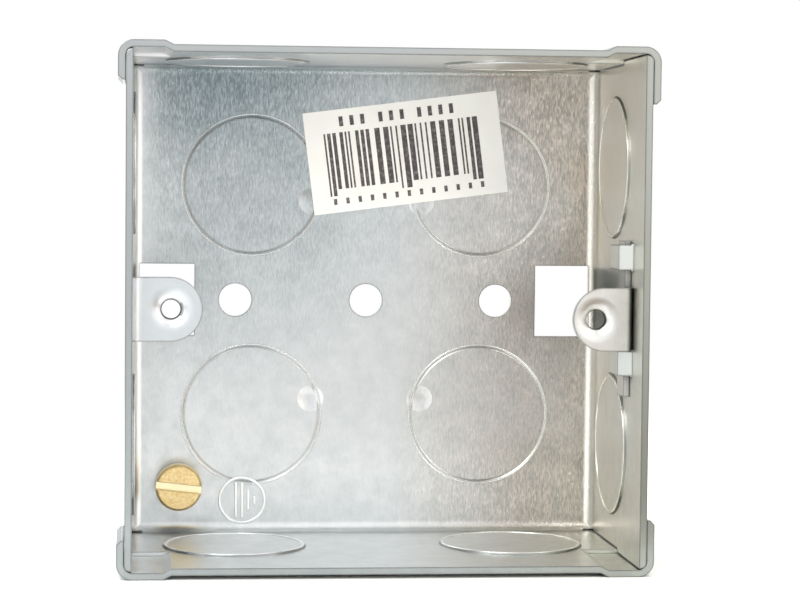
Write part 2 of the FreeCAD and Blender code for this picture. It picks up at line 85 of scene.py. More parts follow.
# a piece from arrays of points in metres and of faces; doubled points are merged and faces turned outwards
def meshPiece(name, points, faces, material, body, slot, smooth=False):
    mesh = bpy.data.meshes.new(name)
    mesh.from_pydata(points.tolist(), [], faces.tolist())
    work = bmesh.new()
    work.from_mesh(mesh)
    bmesh.ops.remove_doubles(work, verts=work.verts, dist=1e-7)
    bmesh.ops.recalc_face_normals(work, faces=work.faces)
    work.to_mesh(mesh)
    work.free()
    mesh.polygons.foreach_set("use_smooth", [smooth] * len(mesh.polygons))
    mesh.materials.append(material)
    piece = bpy.data.objects.new(name, mesh)
    bpy.context.scene.collection.objects.link(piece)
    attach(piece, body)


# Galvanised mild steel, cold rolled and zinc coated: a satin grey with fine short lines along the rolling
# direction, soft patches of zinc and duller zinc outside. Painted on top of it: a painted blue-grey shade
# over the upper left of the base, a painted warm reflection towards the right, painted light on the walls
# inside, painted highlights on the upright folds, and painted shade on the lugs' front faces, along sharp
# edges and in crevices.
galvanised = {
    "brightColour": "ECEEEF",
    "dullColour": "B9C0C2",
    "shadeLow": -0.1, "shadeHigh": 1.1,     # pattern values of the dull and the bright colour
    # painted shade: the colour that darkens the upper left of the base
    "bloomColour": "99A7AC",
    "warmColour": "D6C3B2",     # painted warm reflection on the right of the base, which also darkens it
    "wallColour": "F7F5EA",     # painted warm reflection on the walls
    # painted light: the colour that the walls' inner faces and the folds are lifted towards
    "liftColour": "FFFFFF",
    "wallShareLow": 0.20,       # painted light: how far the walls' inner faces are lifted above the base, at the bottom
    "wallShareHigh": 0.85,      # and at the top
    "foldShare": 0.80,          # painted highlight: how far the upright folds beside the base are lifted
    "foldFrom": 0.05, "foldFull": 0.30,     # how far a fold's normal turns sideways
    "foldDeep": 1.3,            # mm that the folds stand in front of the base
    "baseFrom": 0.9, "baseFull": 0.3,       # mm in front of the base, where the walls' look ends
    "outsideColour": "D4D8DA",  # all faces that look outwards
    "lookFrom": 12.0,           # mm in front of the rim, the place that inner faces look at
    "lugColour": "E2E6E9",      # painted shade on faces that point to the front ahead of the base, mostly the fixed lug
    "lugBefore": -5.0,          # mm along Y, in front of which lie the lugs
    "lugFacing": -0.9,          # how far the normal of a lug's front face points to the front
    # painted shade: darkening in crevices, where ambient occlusion finds little open space
    "dustColour": "5C6062",
    "dustMost": 0.85,
    "dustStart": 0.34, "dustFull": 0.05,    # shares of open space
    "crevice": 1.2,             # mm, how far the painted shade reaches out of a corner
    "edgeColour": "CFD0CE",     # on the cut edges at the rim
    "edgeDeep": 0.05,           # mm
    "edgeRound": 0.27,          # mm, rolled over edge of the blanked sheet
    "burrColour": "4E4D4B",     # painted shade: the dark line along every sharp edge
    "burrShare": 0.75,
    "burrReach": 0.42,          # mm
    "burrFrom": 0.99, "burrFull": 0.84,     # how far the rounded normal still follows the flat one
    "roughnessLow": 0.25, "roughnessHigh": 0.40,
    "lineAcross": 0.18,         # mm, width of a rolling line, drawn about as wide as the photo resolves it
    "lineAlong": 0.85,          # mm, length of a rolling line
    "levelFrom": 0.7,           # how far the normal of the upper and lower walls points up or down
    "lineDepth": 0.004,         # mm
    "calmLines": 0.40,          # contrast of the lines where the zinc is bright
    "strongLines": 4.6,         # what the painted shade at the upper left and the painted warm reflection add to it
    "patch": 2.6,               # mm, patches of zinc
    "cloud": 22.0,              # mm, slow change of tint
    "cloudLow": 0.3, "cloudHigh": 0.7,
    "tintLow": 0.6, "tintHigh": 1.1,        # strength of the tints where the clouds are low and high
    "bloomAt": (-24.0, 38.0),   # mm from the middle of the base, where the painted shade is darkest
    "bloomReach": 52.0,         # mm, how far it spreads
    "bloomFrom": -34.6, "bloomFull": -31.0, # mm from the middle, left of which the painted shade stops and the fold stays bright
    "warmFrom": 4.0, "warmFull": 34.0,      # mm from the middle, where the painted warm reflection starts and is full
}

# The slider was plated after it was formed, so it is brighter, and the painted shade over the base's upper
# left doesn't reach it.
platedLug = dict(galvanised, brightColour="F4F5F4", dullColour="D3D7D9", warmColour="F6F2EA",
                 wallColour="F6F2EC", wallShareLow=0.0, wallShareHigh=0.0, outsideColour="FFFFFF",
                 lugColour="FFFFFF", roughnessLow=0.27, roughnessHigh=0.37,
                 crevice=3.0, dustStart=0.70, dustFull=0.30)

# What is pressed up from the sheet is painted near white, a painted highlight along its ridges, with no
# painted shade along edges and almost none in crevices.
pressed = dict(galvanised, brightColour="FFFFFF", dullColour="E9EEF0", bloomColour="E4EAEC",
               warmColour="F6F0E8", outsideColour="FFFFFF", lugColour="FFFFFF", strongLines=0.5,
               roughnessLow=0.22, roughnessHigh=0.30, burrShare=0.0, dustStart=0.05, dustFull=0.0)

# settings that the shaders below share
times = {"operation": "MULTIPLY"}
blend = {"data_type": "RGBA"}
tint = {"data_type": "RGBA", "blend_type": "MULTIPLY"}
bevelSamples = 6


def makeSteel(name, s):
    material, tree, shader, place = newMaterial(name)
    normal = addNode(tree, "NewGeometry").outputs["True Normal"]
    facing = addNode(tree, "SeparateXYZ", links={0: normal}).outputs
    where = addNode(tree, "SeparateXYZ", links={0: place}).outputs

    # the rolling lines stand upright on the base and the side walls, and run front to back on the others
    upwards = addNode(tree, "Math", {"operation": "ABSOLUTE"}, {0: facing["Z"]}).outputs[0]
    isLevel = addNode(tree, "Math", {"operation": "GREATER_THAN", 1: s["levelFrom"]},
                      {0: upwards}).outputs[0]
    across = 1 / (s["lineAcross"] * mm)
    along = 1 / (s["lineAlong"] * mm)
    upright = addNode(tree, "Mapping", {"Scale": (across, across, along)}, {"Vector": place}).outputs[0]
    level = addNode(tree, "Mapping", {"Scale": (across, along, across)}, {"Vector": place}).outputs[0]
    grain = addNode(tree, "Mix", {"data_type": "VECTOR"}, {0: isLevel, 4: upright, 5: level}).outputs[1]
    lines = addNode(tree, "TexNoise", {"Scale": 1.0, "Detail": 1.5, "Roughness": 0.6},
                    {"Vector": grain}).outputs[0]
    patches = addNode(tree, "TexNoise", {"Scale": 1 / (s["patch"] * mm), "Detail": 4.0, "Roughness": 0.6},
                      {"Vector": place}).outputs[0]
    clouds = addNode(tree, "TexNoise", {"Scale": 1 / (s["cloud"] * mm), "Detail": 2.0},
                     {"Vector": place}).outputs[0]
    uneven = addNode(tree, "MapRange", {"From Min": s["cloudLow"], "From Max": s["cloudHigh"],
                                        "To Min": s["tintLow"], "To Max": s["tintHigh"]},
                     {0: clouds}).outputs[0]

    # a face looks outwards where its normal points away from a place in front of the open box
    lookFrom = (0, rimY - s["lookFrom"] * mm, middleZ)
    away = addNode(tree, "VectorMath", {"operation": "SUBTRACT", 1: lookFrom}, {0: place}).outputs[0]
    leaving = addNode(tree, "VectorMath", {"operation": "DOT_PRODUCT"},
                      {0: normal, 1: away}).outputs["Value"]
    outward = addNode(tree, "Math", {"operation": "GREATER_THAN", 1: 0.0}, {0: leaving}).outputs[0]
    inward = addNode(tree, "Math", {"operation": "SUBTRACT", 0: 1.0}, {1: outward}).outputs[0]

    # painted shade: a blue-grey darkening spreads over the base's inner face from its upper left corner
    corner = (s["bloomAt"][0] * mm, floorY, middleZ + s["bloomAt"][1] * mm)
    distance = addNode(tree, "VectorMath", {"operation": "DISTANCE", 1: corner}, {0: place}).outputs["Value"]
    spread = addNode(tree, "MapRange", {"From Max": s["bloomReach"] * mm, "To Min": 1.0, "To Max": 0.0},
                     {0: distance}).outputs[0]
    onBase = addNode(tree, "MapRange", {"From Min": floorY - s["baseFrom"] * mm,
                                        "From Max": floorY - s["baseFull"] * mm}, {0: where["Y"]}).outputs[0]
    innerFace = addNode(tree, "Math", times, {0: onBase, 1: inward}).outputs[0]
    pastFold = addNode(tree, "MapRange", {"From Min": s["bloomFrom"] * mm, "From Max": s["bloomFull"] * mm},
                       {0: where["X"]}).outputs[0]
    upperLeftShadeThere = addNode(tree, "Math", times, {0: spread, 1: innerFace}).outputs[0]
    upperLeftShadeRight = addNode(tree, "Math", times, {0: upperLeftShadeThere, 1: pastFold}).outputs[0]
    upperLeftShade = addNode(tree, "Math", times, {0: upperLeftShadeRight, 1: uneven}).outputs[0]
    rightward = addNode(tree, "MapRange", {"From Min": s["warmFrom"] * mm, "From Max": s["warmFull"] * mm},
                        {0: where["X"]}).outputs[0]
    warmReflection = addNode(tree, "Math", times, {0: rightward, 1: uneven}).outputs[0]

    # brightness: calm lines and patches, with the lines stronger in the painted shade at the upper left and
    # in the base's painted warm reflection
    warmReflectionBase = addNode(tree, "Math", times, {0: warmReflection, 1: innerFace}).outputs[0]
    paintedShadeAndReflection = addNode(tree, "Math", {"operation": "MAXIMUM"}, {0: upperLeftShade, 1: warmReflectionBase}).outputs[0]
    contrast = addNode(tree, "Math", {"operation": "MULTIPLY_ADD", 1: s["strongLines"], 2: s["calmLines"]},
                       {0: paintedShadeAndReflection}).outputs[0]
    centred = addNode(tree, "Math", {"operation": "SUBTRACT", 1: 0.5}, {0: lines}).outputs[0]
    speckle = addNode(tree, "Math", {"operation": "MULTIPLY_ADD"},
                      {0: centred, 1: contrast, 2: patches}).outputs[0]
    shade = addNode(tree, "MapRange", {"From Min": s["shadeLow"], "From Max": s["shadeHigh"]},
                    {0: speckle}).outputs[0]
    zinc = addNode(tree, "Mix", {**blend, 6: linear(s["dullColour"]), 7: linear(s["brightColour"])},
                   {0: shade}).outputs[2]

    # painted light lifts the walls' inner faces, more towards the top, and a painted highlight lifts the
    # upright folds beside the base; the outside is duller
    beforeBase = addNode(tree, "MapRange", {"From Min": floorY - s["baseFull"] * mm,
                                            "From Max": floorY - s["baseFrom"] * mm},
                         {0: where["Y"]}).outputs[0]
    walled = addNode(tree, "Math", times, {0: inward, 1: beforeBase}).outputs[0]
    wallLightShare = addNode(tree, "MapRange", {"From Max": 2 * middleZ, "To Min": s["wallShareLow"],
                                           "To Max": s["wallShareHigh"]}, {0: where["Z"]}).outputs[0]
    wallLight = addNode(tree, "Math", times, {0: walled, 1: wallLightShare}).outputs[0]
    sideways = addNode(tree, "Math", {"operation": "ABSOLUTE"}, {0: facing["X"]}).outputs[0]
    bent = addNode(tree, "MapRange", {"From Min": s["foldFrom"], "From Max": s["foldFull"],
                                      "To Max": s["foldShare"]}, {0: sideways}).outputs[0]
    nearBase = addNode(tree, "Math", {"operation": "GREATER_THAN", 1: floorY - s["foldDeep"] * mm},
                       {0: where["Y"]}).outputs[0]
    fold = addNode(tree, "Math", times, {0: bent, 1: nearBase}).outputs[0]
    foldHighlightMask = addNode(tree, "Math", times, {0: fold, 1: inward}).outputs[0]
    paintedLight = addNode(tree, "Math", {"operation": "MAXIMUM"}, {0: wallLight, 1: foldHighlightMask}).outputs[0]
    paintedLit = addNode(tree, "Mix", {**blend, 7: linear(s["liftColour"])}, {0: paintedLight, 6: zinc}).outputs[2]
    sided = addNode(tree, "Mix", {**tint, 7: linear(s["outsideColour"])}, {0: outward, 6: paintedLit}).outputs[2]
    upperLeftShaded = addNode(tree, "Mix", {**tint, 7: linear(s["bloomColour"])}, {0: upperLeftShade, 6: sided}).outputs[2]
    flatBase = addNode(tree, "Math", {"operation": "SUBTRACT", "use_clamp": True},
                       {0: innerFace, 1: fold}).outputs[0]
    # painted warm reflection: a straw tint towards the right, darker on the base than on the walls
    warmReflectionTint = addNode(tree, "Mix", {**blend, 6: linear(s["wallColour"]), 7: linear(s["warmColour"])},
                    {0: flatBase}).outputs[2]
    tinted = addNode(tree, "Mix", tint, {0: warmReflection, 6: upperLeftShaded, 7: warmReflectionTint}).outputs[2]

    # cut edges at the rim, painted shade on the lugs' front faces, and painted shade in crevices
    atRim = addNode(tree, "Math", {"operation": "LESS_THAN", 1: rimY + s["edgeDeep"] * mm},
                    {0: where["Y"]}).outputs[0]
    cut = addNode(tree, "Mix", {**tint, 7: linear(s["edgeColour"])}, {0: atRim, 6: tinted}).outputs[2]
    # painted shade: faces that point to the front, ahead of lugBefore, are darkened
    facesFront = addNode(tree, "Math", {"operation": "LESS_THAN", 1: s["lugFacing"]},
                         {0: facing["Y"]}).outputs[0]
    ahead = addNode(tree, "Math", {"operation": "LESS_THAN", 1: s["lugBefore"] * mm},
                    {0: where["Y"]}).outputs[0]
    lugFace = addNode(tree, "Math", times, {0: facesFront, 1: ahead}).outputs[0]
    lugShaded = addNode(tree, "Mix", {**tint, 7: linear(s["lugColour"])}, {0: lugFace, 6: cut}).outputs[2]
    exposed = addNode(tree, "AmbientOcclusion", {"samples": 16, "Distance": s["crevice"] * mm}).outputs["AO"]
    creviceShade = addNode(tree, "MapRange", {"From Min": s["dustStart"], "From Max": s["dustFull"],
                                      "To Max": s["dustMost"]}, {0: exposed}).outputs[0]
    creviceShaded = addNode(tree, "Mix", {**blend, 7: linear(s["dustColour"])}, {0: creviceShade, 6: lugShaded}).outputs[2]

    # painted shade: a dark line at a sharp edge, where the rounded normal turns away from the flat one
    rounded = addNode(tree, "Bevel", {"samples": bevelSamples, "Radius": s["edgeRound"] * mm}).outputs[0]
    wider = addNode(tree, "Bevel", {"samples": bevelSamples, "Radius": s["burrReach"] * mm}).outputs[0]
    turned = addNode(tree, "VectorMath", {"operation": "DOT_PRODUCT"},
                     {0: wider, 1: normal}).outputs["Value"]
    edgeShade = addNode(tree, "MapRange", {"From Min": s["burrFrom"], "From Max": s["burrFull"],
                                      "To Max": s["burrShare"]}, {0: turned}).outputs[0]
    lined = addNode(tree, "Mix", {**blend, 7: linear(s["burrColour"])}, {0: edgeShade, 6: creviceShaded}).outputs[2]
    tree.links.new(lined, shader.inputs["Base Color"])

    roughness = addNode(tree, "MapRange", {"To Min": s["roughnessHigh"], "To Max": s["roughnessLow"]},
                        {0: shade}).outputs[0]
    tree.links.new(roughness, shader.inputs["Roughness"])
    relief = addNode(tree, "Bump", {"Strength": 0.5, "Distance": s["lineDepth"] * mm},
                     {"Height": lines, "Normal": rounded}).outputs[0]
    tree.links.new(relief, shader.inputs["Normal"])
    shader.inputs["Metallic"].default_value = 1.0
    return material


# Turned brass: warm yellow metal with a slightly tumbled surface and softened edges.
brass = {
    "colour": "EDD6A2",
    "darkColour": "D8B87C",
    "mottle": 0.35,             # mm, tumbling marks
    "markDepth": 0.02,          # mm
    "wornFrom": 0.35, "wornFull": 0.75,
    "roughnessLow": 0.24,
    "roughnessHigh": 0.44,
    "edgeRound": 0.24,          # mm
    "slotColour": "FFF6CE",     # painted highlight: a band at the slot's floor is painted pale yellow-white
    "slotDepth": 1.1,           # mm, from the top of the head
    "slotBand": 0.05,           # mm, each way from the slot's floor
}


def makeBrass():
    s = brass
    material, tree, shader, place = newMaterial("turnedBrass")
    marks = addNode(tree, "TexNoise", {"Scale": 1 / (s["mottle"] * mm), "Detail": 4.0},
                    {"Vector": place}).outputs[0]
    worn = addNode(tree, "MapRange", {"From Min": s["wornFrom"], "From Max": s["wornFull"]},
                   {0: marks}).outputs[0]
    base = addNode(tree, "Mix", {**blend, 6: linear(s["colour"]), 7: linear(s["darkColour"])},
                   {0: worn}).outputs[2]
    depth = addNode(tree, "SeparateXYZ", links={0: place}).outputs["Y"]
    slotFloor = screwLow.y + s["slotDepth"] * mm
    # painted highlight along the slot's floor
    slotHighlight = addNode(tree, "Math", {"operation": "COMPARE", 1: slotFloor, 2: s["slotBand"] * mm},
                   {0: depth}).outputs[0]
    bright = addNode(tree, "Mix", {**blend, 7: linear(s["slotColour"])}, {0: slotHighlight, 6: base}).outputs[2]
    tree.links.new(bright, shader.inputs["Base Color"])
    roughness = addNode(tree, "MapRange", {"To Min": s["roughnessLow"], "To Max": s["roughnessHigh"]},
                        {0: marks}).outputs[0]
    tree.links.new(roughness, shader.inputs["Roughness"])
    rounded = addNode(tree, "Bevel", {"samples": bevelSamples, "Radius": s["edgeRound"] * mm}).outputs[0]
    relief = addNode(tree, "Bump", {"Strength": 0.5, "Distance": s["markDepth"] * mm},
                     {"Height": marks, "Normal": rounded}).outputs[0]
    tree.links.new(relief, shader.inputs["Normal"])
    shader.inputs["Metallic"].default_value = 1.0
    return material


# Tapped steel: the bare cut flanks of a thread, darker than the zinc and painted darker still, a painted
# shade down the holes.
tapped = {
    "colour": "77746E",
    "darkColour": "4A4845",
    "stain": 0.4,               # mm
    "roughness": 0.42,
}


def makeTapped():
    s = tapped
    material, tree, shader, place = newMaterial("tappedSteel")
    stain = addNode(tree, "TexNoise", {"Scale": 1 / (s["stain"] * mm), "Detail": 3.0},
                    {"Vector": place}).outputs[0]
    base = addNode(tree, "Mix", {**blend, 6: linear(s["colour"]), 7: linear(s["darkColour"])},
                   {0: stain}).outputs[2]
    tree.links.new(base, shader.inputs["Base Color"])
    shader.inputs["Roughness"].default_value = s["roughness"]
    shader.inputs["Metallic"].default_value = 1.0
    return material


# Uncoated label paper: matt off-white with a fine fibre, faintly yellowed.
paper = {
    "colour": "F4F4F1",
    "shade": "E8E7E3",
    "fibre": 0.35, "fibreDepth": 0.02,      # mm
    "cockle": 5.0, "cockleDepth": 0.25,     # mm
    "roughness": 0.62,
    "gloss": 0.35,
}


def makePaper():
    s = paper
    material, tree, shader, place = newMaterial("labelPaper")
    fibre = addNode(tree, "TexNoise", {"Scale": 1 / (s["fibre"] * mm), "Detail": 3.0},
                    {"Vector": place}).outputs[0]
    cockle = addNode(tree, "TexNoise", {"Scale": 1 / (s["cockle"] * mm), "Detail": 1.0},
                     {"Vector": place}).outputs[0]
    base = addNode(tree, "Mix", {**blend, 6: linear(s["colour"]), 7: linear(s["shade"])},
                   {0: cockle}).outputs[2]
    tree.links.new(base, shader.inputs["Base Color"])
    shader.inputs["Roughness"].default_value = s["roughness"]
    shader.inputs["Specular IOR Level"].default_value = s["gloss"]
    fine = addNode(tree, "Bump", {"Strength": 0.25, "Distance": s["fibreDepth"] * mm},
                   {"Height": fibre}).outputs[0]
    wavy = addNode(tree, "Bump", {"Strength": 0.5, "Distance": s["cockleDepth"] * mm},
                   {"Height": cockle, "Normal": fine}).outputs[0]
    tree.links.new(wavy, shader.inputs["Normal"])
    return material


# Thermal print: dull near-black, a little paler where the ribbon ran dry.
ink = {
    "colour": "4A4445",
    "wornColour": "8A8484",
    "patch": 0.5,               # mm
    "wornFrom": 0.45, "wornFull": 0.75, "wornMost": 0.7,
    "roughness": 0.7,
}


def makeInk():
    s = ink
    material, tree, shader, place = newMaterial("thermalPrint")
    patch = addNode(tree, "TexNoise", {"Scale": 1 / (s["patch"] * mm), "Detail": 2.0},
                    {"Vector": place}).outputs[0]
    worn = addNode(tree, "MapRange", {"From Min": s["wornFrom"], "From Max": s["wornFull"],
                                      "To Max": s["wornMost"]}, {0: patch}).outputs[0]
    base = addNode(tree, "Mix", {**blend, 6: linear(s["colour"]), 7: linear(s["wornColour"])},
                   {0: worn}).outputs[2]
    tree.links.new(base, shader.inputs["Base Color"])
    shader.inputs["Roughness"].default_value = s["roughness"]
    return material


galvanisedSteel = makeSteel("galvanisedSteel", galvanised)
platedSteel = makeSteel("platedSteel", platedLug)
pressedSteel = makeSteel("pressedSteel", pressed)
turnedBrass = makeBrass()
tappedSteel = makeTapped()
labelPaper = makePaper()
thermalPrint = makeInk()
finishes = {"box_body": galvanisedSteel, "adjustable_lug": platedSteel, "earth_screw": turnedBrass,
            "paper_label": labelPaper}
for node, finish in finishes.items():
    mesh = frame["nodes"][node].data
    mesh.materials.clear()
    mesh.materials.append(finish)
print("finishes are on")


# Print on the label: upright bars of different widths, with a row of plain marks where a line of print would
# stand above them and another below. No letters and no figures are printed.
label = {
    "turn": 7.4,                # degrees, rising to the right
    "barsFrom": -12.2, "barsTo": 12.3,      # mm from the middle of the label, as all places below
    "barsLow": -4.3, "barsHigh": 4.3,
    "guardLow": -5.3,           # the first, middle and last bars are longer
    "module": 0.27,             # mm, the narrowest bar
    "modules": [1, 1, 1, 2, 2, 3],          # widths of bars and gaps, drawn at random
    "seed": 11, "draws": 60,
    "headingLow": 5.2, "headingHigh": 6.7,
    "headingWords": [(-9.6, 3), (-3.5, 3), (2.5, 4)],   # start of a word, and its marks
    "headingStep": 1.65, "headingMark": 0.62,
    "footLow": -6.6, "footHigh": -5.7,
    "footFrom": -11.8, "footTo": 12.0,
    "footStep": 1.9, "footMark": 0.5,
    "thickness": 0.012,         # mm
}


# Flat blocks on the label. Each row of rects is left, right, low, high in the label's own millimetres, and
# every block is eight corners, turned and placed as one array.
def blocks(rects, thickness):
    rects = np.asarray(rects, float)
    pick = np.array([[0, 2], [1, 2], [1, 3], [0, 3]])
    plane = rects[:, pick]                                  # block, corner, (u, v)
    turn = math.radians(label["turn"])
    u, v = plane[..., 0], plane[..., 1]
    centre = (labelLow + labelHigh) / 2
    x = centre.x + (u * math.cos(turn) - v * math.sin(turn)) * mm
    z = centre.z + (u * math.sin(turn) + v * math.cos(turn)) * mm
    paperY = labelLow.y
    front = np.stack([x, np.full_like(x, paperY - thickness * mm), z], -1)
    back = np.stack([x, np.full_like(x, paperY), z], -1)
    points = np.concatenate([front, back], 1).reshape(-1, 3)
    corners = np.array([[0, 1, 2, 3], [7, 6, 5, 4], [0, 4, 5, 1], [1, 5, 6, 2], [2, 6, 7, 3], [3, 7, 4, 0]])
    faces = (corners[None] + (np.arange(len(rects)) * 8)[:, None, None]).reshape(-1, 4)
    return points, faces


def printLabel():
    s = label
    rng = np.random.default_rng(s["seed"])
    widths = rng.choice(s["modules"], s["draws"]) * s["module"]
    edges = s["barsFrom"] + np.concatenate([[0], np.cumsum(widths)])
    edges = edges[edges < s["barsTo"]]
    edges = edges[:len(edges) // 2 * 2]
    bars = [[a, b, s["barsLow"], s["barsHigh"]] for a, b in zip(edges[0::2], edges[1::2])]
    middleBar = len(bars) // 2
    for number in (0, 1, middleBar, middleBar + 1, len(bars) - 2, len(bars) - 1):
        bars[number][2] = s["guardLow"]
    starts = [start + k * s["headingStep"] for start, marks in s["headingWords"] for k in range(marks)]
    heading = [[a, a + s["headingMark"], s["headingLow"], s["headingHigh"]] for a in starts]
    foot = [[a, a + s["footMark"], s["footLow"], s["footHigh"]]
            for a in np.arange(s["footFrom"], s["footTo"], s["footStep"])]
    for name, rects in (("labelBars", bars), ("labelHeading", heading), ("labelFoot", foot)):
        points, faces = blocks(rects, s["thickness"])
        meshPiece(name, points, faces, thermalPrint, "box", "label_paper")


printLabel()
print("label is printed")


ridgeSides = 12                     # points round the section of a ridge
circleSteps = 96
strokeSteps = 33                    # points along a stroke of the earth mark


# the quads of a grid of points whose columns close on themselves, and whose rows do if the path is closed
def gridFaces(points, closed):
    n, k = points.shape[:2]
    rows = np.arange(n if closed else n - 1)[:, None]
    cols = np.arange(k)[None]
    ahead, beside = (rows + 1) % n, (cols + 1) % k
    faces = np.stack([rows * k + cols, rows * k + beside, ahead * k + beside, ahead * k + cols], -1)
    return points.reshape(-1, 3), faces.reshape(-1, 4)


# A low rounded ridge along a path on a face: a closed section, half round above and flat below, carried
# along the path. On an open path it shrinks to a point at both ends, as the root of the distance from the
# end. The path is in millimetres across and up the face, and lay turns across, up and height into points.
def ridge(path, closed, s, lay):
    if closed:
        along = np.roll(path, -1, 0) - np.roll(path, 1, 0)
        scale = np.ones(len(path))
    else:
        along = np.gradient(path, axis=0)
        ends = np.minimum(np.arange(len(path)), np.arange(len(path))[::-1])
        step = np.linalg.norm(path[1] - path[0])
        scale = np.sqrt(np.clip(ends * step / (s["stroke"] / 2), 0, 1))
    along = along / np.linalg.norm(along, axis=1)[:, None]
    side = np.stack([-along[:, 1], along[:, 0]], -1)
    angle = np.linspace(0, 2 * math.pi, ridgeSides + 1)[:-1]
    across = np.cos(angle)[None, :, None] * side[:, None, :] * (s["stroke"] / 2 * scale)[:, None, None]
    flat = path[:, None, :] + across
    profile = np.where(np.sin(angle) > 1e-6, np.sin(angle) * s["raise"], -s["sink"])
    points = lay(flat[..., 0], flat[..., 1], profile[None, :] * scale[:, None])
    return gridFaces(points, closed)


# a circle: its middle plus the radius times the cosine and the sine of evenly spaced turns
def circle(across, up, radius):
    turn = np.linspace(0, 2 * math.pi, circleSteps + 1)[:-1]
    return np.stack([across + np.cos(turn) * radius, up + np.sin(turn) * radius], -1)


# several ridges in one piece
def ridgePiece(name, ridges, material):
    counts = np.cumsum([0] + [len(points) for points, faces in ridges])
    allPoints = np.concatenate([points for points, faces in ridges])
    allFaces = np.concatenate([faces + first for (points, faces), first in zip(ridges, counts)])
    meshPiece(name, allPoints, allFaces, material, "box", "galvanised_steel", smooth=True)


# across and up the base, from its middle, with height towards the open front
def layOnBase(across, up, height):
    return np.stack([across * mm, floorY - height * mm, middleZ + up * mm], -1)


# back from the rim and up a side wall, with height inwards; way is the side that the wall is on
def layOnSide(way, face):
    def lay(back, up, height):
        return np.stack([way * (face - height) * mm, rimY + back * mm, middleZ + up * mm], -1)
    return lay


# back from the rim and across the upper or lower wall, with height inwards
def layOnLevel(way, face):
    def lay(back, across, height):
        return np.stack([across * mm, rimY + back * mm, middleZ + way * (face - height) * mm], -1)
    return lay


# Earth mark, pressed up from the base beside the screw: a ring, and upright strokes that shorten rightwards.
earthMark = {
    "x": -18.75, "z": -30.7,    # mm from the middle of the base
    "ringRadius": 3.45,
    "stroke": 0.52,             # mm, width of a pressed line
    "raise": 0.16,              # mm
    "sink": 0.05,               # mm, how far the underside lies in the base
    "strokes": [(-0.95, 2.9), (0.0, 2.9), (0.95, 1.7), (1.9, 0.8)],     # place across, half length
}


def pressEarthMark():
    s = earthMark
    ridges = [ridge(circle(s["x"], s["z"], s["ringRadius"]), True, s, layOnBase)]
    for across, half in s["strokes"]:
        up = s["z"] + np.linspace(-half, half, strokeSteps)
        path = np.stack([np.full_like(up, s["x"] + across), up], -1)
        ridges.append(ridge(path, False, s, layOnBase))
    ridgePiece("earthMark", ridges, pressedSteel)


pressEarthMark()
print("earth mark is pressed")


# Burrs of the sheared knockouts: a bright rounded lip that the punch raised beside each disc's line.
burrs = {
    "radius": 10.35,            # mm, of a disc
    "baseOut": 0.36,            # mm, how far outside a base disc's line its lip runs
    "basePlace": 17.5,          # mm from the middle of the base to a disc, across and up
    "wallIn": 0.26,             # mm, how far inside a wall disc's edge its lip runs
    "wallPlace": 20.5,          # mm from the middle of a wall to a disc
    "wallBack": 20.2,           # mm from the rim
    "wallFace": 35.5,           # mm from the middle plane to a wall's inner face
    "discRaise": 0.25,          # mm, how far a wall disc stands inwards
    "baseLip": {"stroke": 0.28, "raise": 0.05, "sink": 0.03},
    "wallLip": {"stroke": 0.52, "raise": 0.14, "sink": 0.05},
}


def raiseBurrs():
    s = burrs
    signs = (-1, 1)
    radius = s["radius"] + s["baseOut"]
    ridges = [ridge(circle(s["basePlace"] * i, s["basePlace"] * j, radius), True, s["baseLip"], layOnBase)
              for i in signs for j in signs]
    ridgePiece("baseDiscBurrs", ridges, pressedSteel)

    face = s["wallFace"] - s["discRaise"]
    radius = s["radius"] - s["wallIn"]
    ridges = [ridge(circle(s["wallBack"], s["wallPlace"] * i, radius), True, s["wallLip"], layOn(way, face))
              for way in signs for i in signs for layOn in (layOnSide, layOnLevel)]
    ridgePiece("wallDiscBurrs", ridges, pressedSteel)


raiseBurrs()
print("knockouts have their burrs")


# Threads of the two lugs: fine turns that stand into the drawn holes, with their backs in the metal.
thread = {
    "pitch": 0.6,               # mm, of M3.5
    "rise": 0.13,               # mm, how far a turn stands into the hole
    "sink": 0.04,               # mm, how far the sleeve's back lies in the metal
    "stepsRound": 64, "stepsDeep": 61,
}


# A closed sleeve on a grid of angle and depth. Its inside stands in by the rise times a triangle wave of
# depth over pitch less the turn's share, which makes a helix, and fades out at both ends. Its back is plain.
def tapHole(name, mount, material, body, slot):
    s = thread
    bore, length = mount["dims"]["r_mm"], mount["dims"]["length_mm"]
    turn = np.linspace(0, 2 * math.pi, s["stepsRound"] + 1)[:-1][:, None]
    deep = np.linspace(0, length, s["stepsDeep"])[None, :]
    wave = 1 - np.abs(2 * ((deep / s["pitch"] - turn / (2 * math.pi)) % 1) - 1)
    fade = np.clip(np.minimum(deep, length - deep) / (s["pitch"] / 2), 0, 1)
    inner = bore - s["rise"] * wave * fade
    outer = np.full_like(inner, bore + s["sink"])
    radius = np.concatenate([inner, outer[:, ::-1]], 1) * mm
    depth = np.concatenate([deep, deep[:, ::-1]], 1) * mm + np.zeros_like(radius)
    x, y, z = mount["pos_m"]
    mouth = y - length / 2 * mm
    points = np.stack([x + radius * np.cos(turn), mouth + depth, z + radius * np.sin(turn)], -1)
    meshPiece(name, *gridFaces(points, True), material, body, slot, smooth=True)


tapHole("fixedLugThread", mounts["fixed_lug_thread"], tappedSteel, "box", "galvanised_steel")
tapHole("adjustableLugThread", mounts["adjustable_lug_thread"], tappedSteel, "lug", "plated_lug")
print("lug holes are tapped")


# Studio: a pale floor that turns to plain white away from the box, a white surround and soft lamps.
studio = {
    "floorColour": "F7F7F5",
    "floorRoughness": 0.8,
    "floorGloss": 0.1,
    "floorSize": 6.0,           # metres
    "whiteFrom": 0.09,          # metres from the middle of the box, where the floor starts to turn white
    "whiteAt": 0.30,
    "worldStrength": 0.95,
}


